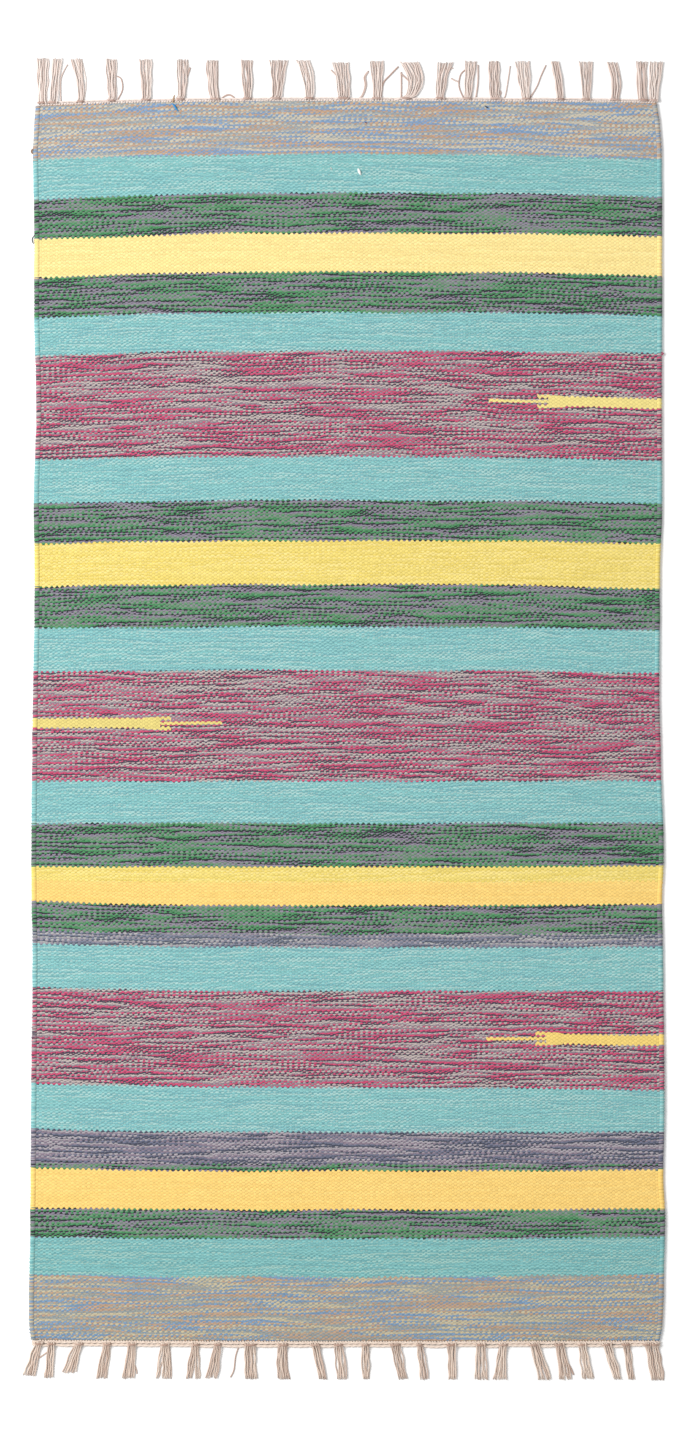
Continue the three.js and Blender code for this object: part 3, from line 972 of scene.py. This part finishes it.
def tassel_yarns(end, tassel, draws):
    yarns = []
    root = end.start + end.depth * ROOT_DEEP
    for n in range(tassel.yarns):
        slot = n / (tassel.yarns - 1) - 0.5
        layer = n % 2
        parted = (-0.5 if n < tassel.fork[0] else 0.5) * tassel.fork[1]
        lean = LEAN * drawn(draws, (-1, 1))
        wave = drawn(draws, WAVE)
        phase = drawn(draws, (0, 2 * math.pi))
        waves = drawn(draws, WAVES)
        cut = drawn(draws, CUT)
        foot = tassel.foot + drawn(draws, FOOT)
        radius = YARN_RADIUS * drawn(draws, THICKNESS)
        line = []
        for step in range(TASSEL_STEPS + 1):
            share = (step / TASSEL_STEPS) ** CLOSER
            out = root + (tip_out(end, tassel.tip) - tassel.short + cut - root) * share
            spread = tassel.neck + (tassel.fan - tassel.neck) * share
            across = tassel.root + (tassel.tip - tassel.root) * share + slot * (spread - 2 * YARN_RADIUS)
            across += (tassel.bow + lean) * math.sin(math.pi * share)
            across += wave * math.sin(2 * math.pi * waves * share + phase) * min(1, WAVE_GROWS * share)
            across += foot * max(0, 1 - share / FOOT_ENDS) ** FOOT_POWER + parted * share**FORK_POWER
            height = over_rope(end, (out - root) / end.depth) + radius
            height += layer * (LAYER_HIGH - LAYER_SINKS * share) * radius
            line.append(end_place(end, across, out, height))
        radii = [radius * MM] * len(line)
        radii[-1] *= TIP_THIN
        yarns.append((line, radii, draws.random()))
    return yarns


# %% [markdown]
# ## Stray yarns
#
# A hand-knotted fringe is never neat: single yarns have left their tassels, and a few are short or doubled.
# Each is laid through the few places that it passes on the real rug, as a smooth line on the floor.

# %% Stray yarns
# Single yarns that have left their tassel: where they pass, as pairs of across and out in mm.
TOP_STRAYS = [
    [(-273, 4), (-273.2, 24), (-269.8, 34), (-266.5, 39.5)],
    [(-219.5, 4), (-214.5, 14), (-215.5, 24), (-219.5, 27)],
    [(-154, 22), (-152, 28), (-150, 34)],
    [(7.6, 3), (12.8, 6), (16.2, 16), (15.2, 24), (19.4, 30)],
    [(8.9, 3), (13.9, 6.4), (17.2, 16), (16.4, 24), (19.2, 29)],
    [(31.4, 4), (33.3, 18), (40, 26), (47.8, 34)],
    [(50.5, 3), (50.6, 16), (50.5, 29)],
    [(49.9, 28), (55, 23), (60.8, 18)],
    [(109.9, 4), (105.5, 15), (106.7, 26), (111.1, 31)],
    [(97.9, 23), (101.5, 21), (105.5, 19.5)],
    [(121.4, 4), (123.5, 20), (123.5, 36)],
    [(144.9, 3), (149.2, 6), (152, 21), (154.1, 35)],
    [(173.2, 5), (179.7, 16), (183.5, 26), (188.1, 36)],
    [(276.4, 4), (274.7, 20), (275.3, 36)],
    [(-120.3, 3.6), (-118.3, 5.8), (-114.1, 7.3), (-110.5, 6.5), (-107.7, 4.2)],
    [(-120, 4.4), (-117.7, 6.4), (-114, 7.9), (-110.9, 7.1), (-108.2, 5.0)],
    [(-11.2, 25.6), (-13.6, 28.2), (-16.4, 31)],
    [(94.5, 30), (97.5, 32), (99.8, 32.9)],
    [(141.5, 5), (143, 8.5), (144.6, 11.3), (145.5, 9), (143.5, 6)],
]
BOTTOM_STRAYS = [
    [(-286, 12), (-290, 15), (-293.5, 17.5)],
    [(-202.5, 24), (-201, 29), (-200.8, 32)],
    [(-103.6, 5), (-106.9, 15), (-108.5, 28), (-111.8, 35)],
    [(208, 20), (211.5, 26), (214.3, 32.5)],
]


def smooth_line(points, steps):
    """A smooth line through a few points, as a Catmull-Rom spline."""
    padded = [points[0], *points, points[-1]]
    line = []
    for n in range(len(points) - 1):
        before, a, b, after = (Vector(p) for p in padded[n : n + 4])
        for step in range(steps):
            t = step / steps
            line.append(
                0.5
                * (
                    2 * a
                    + (b - before) * t
                    + (2 * before - 5 * a + 4 * b - after) * t**2
                    + (3 * a - before - 3 * b + after) * t**3
                )
            )
    line.append(Vector(points[-1]))
    return line


STRAY_STEPS = 4
STRAY_THICKNESS = (0.9, 1.2)
STRAY_SHADE = (0.9, 1.6)
STRAY_LIFT = 0.02  # mm off the floor


def stray_yarns(end, strays, draws):
    yarns = []
    for points in strays:
        flat = smooth_line([(across, out, 0) for across, out in points], STRAY_STEPS)
        radius = YARN_RADIUS * drawn(draws, STRAY_THICKNESS)
        line = [end_place(end, p.x, p.y, radius + STRAY_LIFT) for p in flat]
        yarns.append((line, [radius * MM] * len(line), drawn(draws, STRAY_SHADE)))
    return yarns


# %% [markdown]
# ## Headings
#
# Between two tassels the warp ends lie along the cloth's edge, in two ropes that sag away from it a
# little. Each rope is three yarns wound round each other, which is a helix along a sagging line. Every
# warp leaves the cloth's edge and slants into the inner rope.

# %% Heading yarns
ROPE_YARNS = 3
ROPE_TURN = 17.0  # mm in which a rope's yarns go once round
ROPE_STEP = 2.6
ROPE_SHADE = 0.25  # the most that a rope's yarn is darkened, of a tassel's
ROPE_WIND = 0.75  # radii between a yarn's middle and its rope's
ROPE_HIGH = 1.95  # radii between the floor and a rope's middle
CORNER = 4  # mm from a heading's ends, within which a tassel doesn't hold the ropes
SAG_SPAN = (0.2, 1.8)  # of the end's usual sag

# deep is where a rope lies in the heading's depth, and sags is its share of the sag between two tassels
Rope = namedtuple("Rope", "deep sags")
ROPES = (Rope(0.28, 0.4), Rope(0.73, 1.0))


def heading_yarns(end, tassels, draws):
    roots = [t.root for t in tassels if -end.left + CORNER < t.root < end.right - CORNER]
    stops = [-end.left, *roots, end.right]
    sags = [end.sag * drawn(draws, SAG_SPAN) for _ in stops]
    radius = rope_radius(end)
    steps = round((end.left + end.right) / ROPE_STEP)
    yarns = []
    for number, rope in enumerate(ROPES):
        for n in range(ROPE_YARNS):
            line = []
            for step in range(steps + 1):
                across = -end.left + (end.left + end.right) * step / steps
                gap = max(i for i, stop in enumerate(stops[:-1]) if across >= stop - 1e-6)
                share = (across - stops[gap]) / (stops[gap + 1] - stops[gap])
                sag = sags[gap] * math.sin(math.pi * share) * rope.sags
                angle = 2 * math.pi * (across / ROPE_TURN + n / ROPE_YARNS) + number
                middle = end.start + end.depth * rope.deep + sag
                out = middle + ROPE_WIND * radius * math.cos(angle)
                height = radius * (ROPE_HIGH + ROPE_WIND * math.sin(angle))
                line.append(end_place(end, across, out, height))
            yarns.append((line, [radius * MM] * len(line), ROPE_SHADE * draws.random()))
    return yarns


# %% Warp ends
WARP_END_RADIUS = 0.66
WARP_END_LEAN = (1.6, 2.8)  # mm that a warp runs sideways
LEFT_BARE = 1  # mm of a heading's left end that has no warp ends
RIGHT_BARE = 3


def warp_ends(end, draws):
    """The warps where they leave the cloth's edge and slant sideways into the inner rope."""
    yarns = []
    for n in range(WARPS):
        across = (n - (WARPS - 1) / 2) * WARP / MM
        if not -end.left + LEFT_BARE < across < end.right - RIGHT_BARE:
            continue
        lean = drawn(draws, WARP_END_LEAN)
        # Out of the cloth's edge, over a small arch, and into the inner rope
        line = [
            end_place(end, across, end.start - 0.25, 1.5),
            end_place(end, across + 0.35 * lean, end.start + 0.3, 2.0),
            end_place(end, across + lean, end.start + end.depth * ROOT_DEEP, 1.7),
        ]
        yarns.append((line, [WARP_END_RADIUS * MM] * len(line), ROPE_SHADE * draws.random()))
    return yarns


# %% [markdown]
# ## Knots
#
# Each tassel is held by one of its own yarns, which goes twice round its neck and over the heading. It's
# an oval helix, which the floor flattens from below.

# %% Knots
KNOT_TURNS = 2.1
KNOT_STEPS = 20
KNOT_PAINTED_SHADE = 1.7  # a knot's yarn is painted darkest, as shade at the tassel's neck
KNOT_SHADE_SPAN = (0.8, 1)
KNOT_START = (-0.6, 0.6)  # how far round it starts from the floor, in radians
KNOT_RADIUS = 0.85  # of a tassel yarn's
KNOT_ON_ROPES = 0.9  # of the ropes' height, over which it goes
KNOT_ON_YARNS = 4.1  # radii of the tassel's yarns, over which it goes too
KNOT_SLACK = 0.2  # mm between it and the tassel at each side
KNOT_DEEP = 0.5  # of the heading's depth, where it starts
KNOT_LONG = 1.5  # mm that it goes outwards
KNOT_ASIDE = 0.3  # of the tassel's foot, by which it's off the tassel's root


def knot_yarns(end, tassel, draws):
    """One yarn that goes twice round the tassel's neck."""
    start = drawn(draws, KNOT_START) - math.pi / 2
    high = rope_top(end) * KNOT_ON_ROPES + KNOT_ON_YARNS * YARN_RADIUS
    wide = tassel.neck / 2 + KNOT_SLACK
    line = []
    for step in range(KNOT_STEPS + 1):
        share = step / KNOT_STEPS
        angle = start + 2 * math.pi * KNOT_TURNS * share
        across = tassel.root + KNOT_ASIDE * tassel.foot + wide * math.cos(angle)
        out = end.start + end.depth * KNOT_DEEP + KNOT_LONG * share
        height = max(YARN_RADIUS, high / 2 * (1 + math.sin(angle)))
        line.append(end_place(end, across, out, height))
    radii = [YARN_RADIUS * KNOT_RADIUS * MM] * len(line)
    # The knot's yarn takes the deep colour as painted shade at the tassel's neck
    return [(line, radii, KNOT_PAINTED_SHADE * drawn(draws, KNOT_SHADE_SPAN))]


# %% Both fringes
BUNCH = 20  # yarns to a small mesh, which is built faster than one large mesh


def bunched(yarns):
    """Small meshes of a long list of yarns."""
    return [yarns_mesh(yarns[n : n + BUNCH]) for n in range(0, len(yarns), BUNCH)]


def fringe(name, end, tassels, strays, seed):
    draws = random.Random(seed)
    parts = [yarns_mesh(heading_yarns(end, tassels, draws))]
    parts.extend(bunched(warp_ends(end, draws)))
    for tassel in tassels:
        parts.append(yarns_mesh(tassel_yarns(end, tassel, draws) + knot_yarns(end, tassel, draws)))
    parts.append(yarns_mesh(stray_yarns(end, strays, draws)))
    return joined(name, parts)


fringes = {
    "fringe_top": fringe("fringe_top_yarns", ENDS["top"], TOP_TASSELS, TOP_STRAYS, 11),
    "fringe_bottom": fringe("fringe_bottom_yarns", ENDS["bottom"], BOTTOM_TASSELS, BOTTOM_STRAYS, 12),
}

# %% [markdown]
# ## Undyed cotton
#
# Warp yarn is three plies of undyed cotton. Its twist is drawn from the angle and the length that each
# vertex keeps, so it follows every bend of a yarn, with painted shade in the seams between the plies. Some
# yarns are more worn than others, which is their shade, and each knot's yarn gets the most of it as painted
# shade at the tassel's neck. The bottom fringe has yellowed a little more than the top one.

# %% Undyed cotton
PLIES = 3
PLY_TURN = 3.4  # mm in which the plies go once round
WORN = 0.6  # how far a shade of 1 goes to the deep colour
PAINTED_SEAM_SHADE = 0.45  # how far the seam between two plies goes to it, as painted shade
SEAM_WIDE = 0.5
YARN_ROUGHNESS = 0.95
YARN_SPECULAR = 0.15
YARN_SHEEN = 0.2
YARN_BUMP = 0.6
YARN_DEPTH = 0.2 * MM


def yarn_look(name, pale, deep):
    """Plied cotton: rounded plies that wind round the yarn, with painted shade in the seams between them.
    """
    look = Look(name)
    split = look.node("SeparateXYZ", {"Vector": look.attribute("twist", "Vector")})
    angle = look.math("ARCTAN2", split.outputs[1], split.outputs[0])
    wound = look.times(split.outputs[2], 2 * math.pi / PLY_TURN)
    phase = look.times(look.plus(angle, wound), PLIES / 2)
    ply = look.math("ABSOLUTE", look.math("COSINE", phase))
    # A knot's yarn has the most shade, which is painted shade at the tassel's neck; other yarns' is how
    # worn they are
    worn = look.times(look.attribute("shade", "Fac"), WORN)
    colour = look.mix(worn, linear(pale), linear(deep))
    # The seams between the plies get painted shade towards the deep colour
    seam = look.spread(ply, 0.0, SEAM_WIDE, PAINTED_SEAM_SHADE, 0.0)
    look.finish(look.mix(seam, colour, linear(deep)), YARN_ROUGHNESS, YARN_SPECULAR, YARN_SHEEN)
    look.relief(ply, YARN_BUMP, YARN_DEPTH)
    return look.material


fringe_looks = {
    "fringe_top": yarn_look("undyed_cotton", (240, 227, 219), (180, 151, 139)),
    "fringe_bottom": yarn_look("yellowed_cotton", (234, 217, 202), (175, 144, 128)),
}
for node, piece in fringes.items():
    piece.data.materials.append(fringe_looks[node])
    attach(piece, "root")
    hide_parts(node)
    print(piece.name, sum(len(p.vertices) - 2 for p in piece.data.polygons), "triangles")

# %% [markdown]
# ## Weft turns
#
# At each selvedge the weft goes round the doubled warps and comes back, so the side edge is a row of
# small ribs rather than a clean cut. Each turn is a short yarn swept from the cloth's face round its
# edge to its back. Its colours come from the same chart as the stripe that it belongs to.

# %% Weft turns
TURN_PICKS = 2  # picks from one turn to the next
TURN_RADIUS = 0.78  # mm
TURN_THICKNESS = (0.9, 1.1)  # of the usual radius
TURN_SLACK = (-0.25, 0.2)  # mm inwards, and less than none is outwards
TURN_TILT = (-0.5, 0.5)  # mm along the rug from face to back
TURN_SHIFT = (-0.2, 0.2)  # in picks
Turn = namedtuple("Turn", "inset height")
TURN = [
    Turn(4.5, 2.4),
    Turn(3.3, 2.95),
    Turn(1.9, 3.0),
    Turn(0.75, 2.5),
    Turn(0.3, 1.6),
    Turn(1.3, 0.9),
]


def turn_line(side, along, draws):
    """One turn at the left (0) or right (1) side, which is half sunk in the selvedge."""
    slack = drawn(draws, TURN_SLACK)
    tilt = drawn(draws, TURN_TILT)
    line = []
    for n, (inset, height) in enumerate(TURN):
        out = slack if 0 < n < len(TURN) - 1 else 0
        edge = on_rug(side, along + tilt * MM * (0.5 - n / (len(TURN) - 1)), height * MM)
        edge.x += (inset + out) * MM * (1 if side == 0 else -1)
        line.append(edge)
    return line


def side_turns():
    """All turns of both sides. A turn's shade is its pick, from which its material takes its stripe."""
    draws = random.Random(21)
    parts = []
    for side in (0, 1):
        yarns = []
        for pick in range(1, PICKS - 1, TURN_PICKS):
            along = HALF_LENGTH - (pick + drawn(draws, TURN_SHIFT)) * PICK
            radii = [TURN_RADIUS * MM * drawn(draws, TURN_THICKNESS)] * len(TURN)
            yarns.append((turn_line(side, along, draws), radii, pick))
        parts.extend(bunched(yarns))
    return joined("kilim_side_turns", parts)


WOUND_ROUND = 0.8  # yarns of the bundle to a radian round a turn
WOUND_ALONG = 0.3  # and to a mm along it
TURN_BUMP = 0.5
TURN_DEPTH = 0.3 * MM


def side_look():
    """The bundle's yarns wound round a turn, each in a dye of the stripe that its pick is in."""
    look = Look("turned_weft")
    split = look.node("SeparateXYZ", {"Vector": look.attribute("twist", "Vector")})
    pick = look.attribute("shade", "Fac")
    angle = look.math("ARCTAN2", split.outputs[1], split.outputs[0])
    strand = look.plus(look.times(angle, WOUND_ROUND), look.times(split.outputs[2], WOUND_ALONG))
    which = look.vector(look.math("FLOOR", strand), pick)
    picked = look.node("TexWhiteNoise", {"Vector": which}, noise_dimensions="2D").outputs[0]
    yarn = look.math("FLOOR", look.times(picked, float(len(Bundle._fields))))
    colour = bundle_colour(look, stripe_number(look, pick), yarn)
    # An accent's wefts turn at the side that it starts from
    across = look.node("SeparateXYZ", {"Vector": look.node("TexCoord").outputs["Object"]}).outputs[0]
    for accent in ACCENTS:
        middle = float(first_pick(accent.stripe) + accent.at)
        near = look.math("LESS_THAN", look.off(pick, middle), BAR_EDGE)
        at_side = look.math("LESS_THAN" if accent.side == "left" else "GREATER_THAN", across, 0.0)
        colour = look.mix(look.times(at_side, near), colour, linear(accent.dye))
    look.finish(colour, COTTON_ROUGHNESS, COTTON_SPECULAR, COTTON_SHEEN)
    look.relief(look.off(look.math("FRACT", strand), 0.5), TURN_BUMP, TURN_DEPTH, sunk=True)
    return look.material


turns = side_turns()
turns.data.materials.append(side_look())
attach(turns, "root")
print(turns.name, sum(len(p.vertices) - 2 for p in turns.data.polygons), "triangles")

# %% [markdown]
# ## Loose yarns
#
# A few slubs and weft tails stand out of the cloth, as on any hand-woven rug. They are short yarns with
# thin ends, each with a dye of its own as an attribute. Their places are in mm from the cloth's middle.

# %% Slubs and tails
Slub = namedtuple("Slub", "dye radius line")
SLUBS = [
    Slub((255, 252, 248), 1.3, [(9.4, 525.4, 3.0), (10.7, 522.4, 3.9), (12.0, 519.2, 3.0)]),
    Slub((214, 204, 198), 0.5, [(-16.8, 526.4, 3.0), (-15.9, 525.2, 3.6), (-15.2, 524.2, 3.0)]),
    Slub(
        (150, 120, 98),
        0.9,
        [(-297.4, 544.4, 2.8), (-300.2, 543.0, 2.6), (-300.3, 540.4, 2.4), (-297.4, 539.0, 2.8)],
    ),
    Slub(
        (52, 64, 68),
        0.6,
        [(-297.4, 462.2, 3.2), (-299.6, 459.4, 2.6), (-299.9, 456.2, 1.9), (-298.6, 453.8, 1.5)],
    ),
    Slub(
        (60, 148, 208),
        0.9,
        [(-167.2, 587.4, 2.9), (-164.8, 584.4, 4.0), (-163.2, 582.2, 3.9), (-161.2, 579.8, 2.9)],
    ),
    Slub((176, 146, 116), 0.9, [(-166.6, 588.0, 3.3), (-165.6, 591.6, 3.8), (-164.8, 595.4, 3.2)]),
    Slub((84, 66, 96), 0.5, [(15.8, 569.8, 3.0), (16.9, 568.9, 3.6), (18.2, 568.3, 3.0)]),
    Slub((44, 62, 84), 0.6, [(130.2, 584.6, 3.0), (131.7, 583.6, 3.7), (133.4, 582.6, 3.0)]),
    Slub((176, 72, 104), 0.7, [(295.8, 351.4, 2.9), (299.6, 349.6, 2.5), (296.0, 347.4, 2.9)]),
]
SLUB_STEPS = 3
THIN_END = 0.35  # of a slub's radius, at both its ends


def loose_yarns():
    parts = []
    for slub in SLUBS:
        line = [p * MM + MIDDLE for p in smooth_line(slub.line, SLUB_STEPS)]
        radii = []
        for n in range(len(line)):
            swell = math.sin(math.pi * n / (len(line) - 1))
            radii.append(slub.radius * MM * (THIN_END + (1 - THIN_END) * swell))
        bm = bmesh.new()
        bm.verts.layers.float_color.new("dye")
        sweep(bm, line, radii, 0.0)
        dye_layer = bm.verts.layers.float_color.get("dye")
        for vertex in bm.verts:
            vertex[dye_layer] = linear(slub.dye)
        part = bpy.data.meshes.new("slub")
        bm.to_mesh(part)
        bm.free()
        parts.append(part)
    return joined("kilim_slubs", parts)


FIBRES = 1800.0  # patches of fibre to a metre
FIBRE_DETAIL = 3.0
FIBRE_SPAN = (0.3, 0.7)  # of the noise, between its darkest and its palest
FIBRE_SHADE = 0.8  # of the dye's brightness, at its darkest
FIBRE_DEPTH = 0.3 * MM


def slub_look():
    """Loose fibres in a dye of their own."""
    look = Look("loose_yarn")
    place = look.node("TexCoord").outputs["Object"]
    fibres = look.noise(place, detail=FIBRE_DETAIL, scale=FIBRES)
    shade = look.grey(look.spread(fibres, *FIBRE_SPAN, FIBRE_SHADE, 1.0))
    colour = look.mix(1.0, look.attribute("dye", "Color"), shade, "MULTIPLY")
    look.finish(colour, YARN_ROUGHNESS, YARN_SPECULAR)
    look.relief(fibres, YARN_BUMP, FIBRE_DEPTH)
    return look.material


slubs = loose_yarns()
slubs.data.materials.append(slub_look())
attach(slubs, "root")
print(slubs.name, len(slubs.data.polygons), "faces")

# %% [markdown]
# ## Stage
#
# The photo is taken from straight above, with soft light from the left and a plain pale floor.

# %% Floor
FLOOR_SIZE = 8.0
FLOOR_GREY = 0.93
FLOOR_ROUGHNESS = 0.9
FLOOR_SPECULAR = 0.1


def floor_of():
    bm = bmesh.new()
    bmesh.ops.create_grid(bm, x_segments=1, y_segments=1, size=FLOOR_SIZE / 2)
    mesh = bpy.data.meshes.new("floor")
    bm.to_mesh(mesh)
    bm.free()
    look = Look("pale_floor")
    look.finish((FLOOR_GREY, FLOOR_GREY, FLOOR_GREY, 1), FLOOR_ROUGHNESS, FLOOR_SPECULAR)
    mesh.materials.append(look.material)
    thing = bpy.data.objects.new("floor", mesh)
    bpy.context.collection.objects.link(thing)
    return thing


floor = floor_of()


# %% Light
KEY_SIZE = 1.6
KEY_PLACE = (-2.6, 0.7, 2.8)  # to the rug's left and a little to its top
KEY_WATTS = 140
ROOM_STRENGTH = 0.64  # of the even light from all round


def area_light(name, size, place, energy):
    data = bpy.data.lights.new(name, "AREA")
    data.shape = "DISK"
    data.size = size
    data.energy = energy
    lamp = bpy.data.objects.new(name, data)
    lamp.location = place
    lamp.rotation_mode = "QUATERNION"
    lamp.rotation_quaternion = Vector(place).to_track_quat("Z", "Y")
    bpy.context.collection.objects.link(lamp)


area_light("key_light", KEY_SIZE, KEY_PLACE, KEY_WATTS)
world = bpy.data.worlds.new("soft_room")
world.use_nodes = True
world.node_tree.nodes["Background"].inputs["Color"].default_value = (1, 1, 1, 1)
world.node_tree.nodes["Background"].inputs["Strength"].default_value = ROOM_STRENGTH
bpy.context.scene.world = world
bpy.context.scene.view_settings.view_transform = "Standard"

# %% Camera
PHOTO_HIGH = 1.368  # metres of the rug's face that the picture shows from top to bottom
PHOTO_X = 3.14 * MM  # where the picture's middle lies
PHOTO_Y = -0.29 * MM
FACE = 3 * MM  # the height of the rug's face
LENS = 100.0
SENSOR = 36.0
lens_data = bpy.data.cameras.new("camera")
lens_data.lens = LENS
lens_data.sensor_width = SENSOR
camera = bpy.data.objects.new("camera", lens_data)
camera.location = (PHOTO_X, PHOTO_Y, PHOTO_HIGH * LENS / SENSOR + FACE)
bpy.context.collection.objects.link(camera)
bpy.context.scene.camera = camera
bpy.context.view_layer.update()
